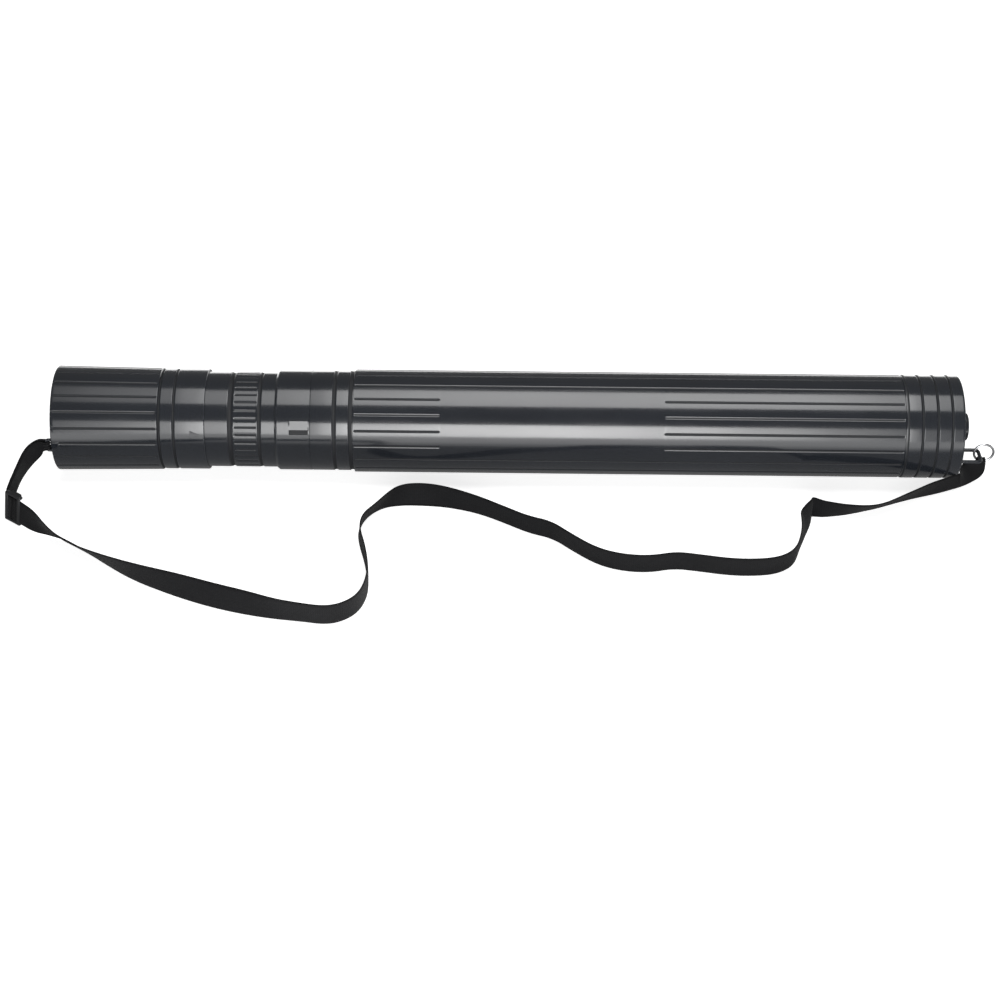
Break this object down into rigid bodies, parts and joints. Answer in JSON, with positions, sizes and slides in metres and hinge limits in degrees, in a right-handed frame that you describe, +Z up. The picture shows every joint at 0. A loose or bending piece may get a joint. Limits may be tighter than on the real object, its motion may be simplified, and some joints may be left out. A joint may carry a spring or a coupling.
{
  "type": "drawing tube",
  "caption": "Telescoping drawing tube with a push-on lid, a twist lock ring, fluted walls and a carrying strap with a slider and a wire ring.",
  "frame": {"origin": "on the ground, under the middle of the tube's length with its lid lug and base bail, as it lies closed", "axes": "+X along the tube towards the base cap, +Z up, the strap lies on the -Y side"},
  "size_m": [0.8139, 0.2589, 0.0864],
  "materials": {
    "tube_plastic": "smooth moulded black plastic with a soft gloss",
    "webbing": "woven black webbing",
    "slider_plastic": "moulded black plastic",
    "bright_wire": "bright plated wire"
  },
  "bodies": {
    "outer": {"outer_tube": "tube_plastic", "base_cap": "tube_plastic", "front_collar": "tube_plastic", "strap_webbing": "webbing"},
    "lock": {"lock_ring": "tube_plastic"},
    "inner": {"inner_tube": "tube_plastic"},
    "lid": {"lid": "tube_plastic", "strap_slider_loop": "webbing"},
    "slider": {"strap_slider": "slider_plastic"},
    "ring": {"strap_ring": "bright_wire", "strap_end_loop": "webbing"}
  },
  "joints": [
    {"name": "collar_twist", "type": "hinge", "parent": "outer", "child": "lock", "pos_m": [-0.18, 0, 0.0432], "axis": [1, 0, 0], "range_deg": [0, 30]},
    {"name": "tube_extend", "type": "slide", "parent": "outer", "child": "inner", "axis": [-1, 0, 0], "range_m": [0, 0.468]},
    {"name": "lid_pull", "type": "slide", "parent": "inner", "child": "lid", "axis": [-1, 0, 0], "range_m": [0, 0.25]},
    {"name": "slider_adjust", "type": "slide", "parent": "lid", "child": "slider", "axis": [0.7552, -0.6555, 0], "range_m": [0, 0.012]},
    {"name": "ring_swing", "type": "hinge", "parent": "outer", "child": "ring", "pos_m": [0.38275, -0.018, 0.0262], "axis": [0, -1, 0], "range_deg": [0, 90]}
  ]
}
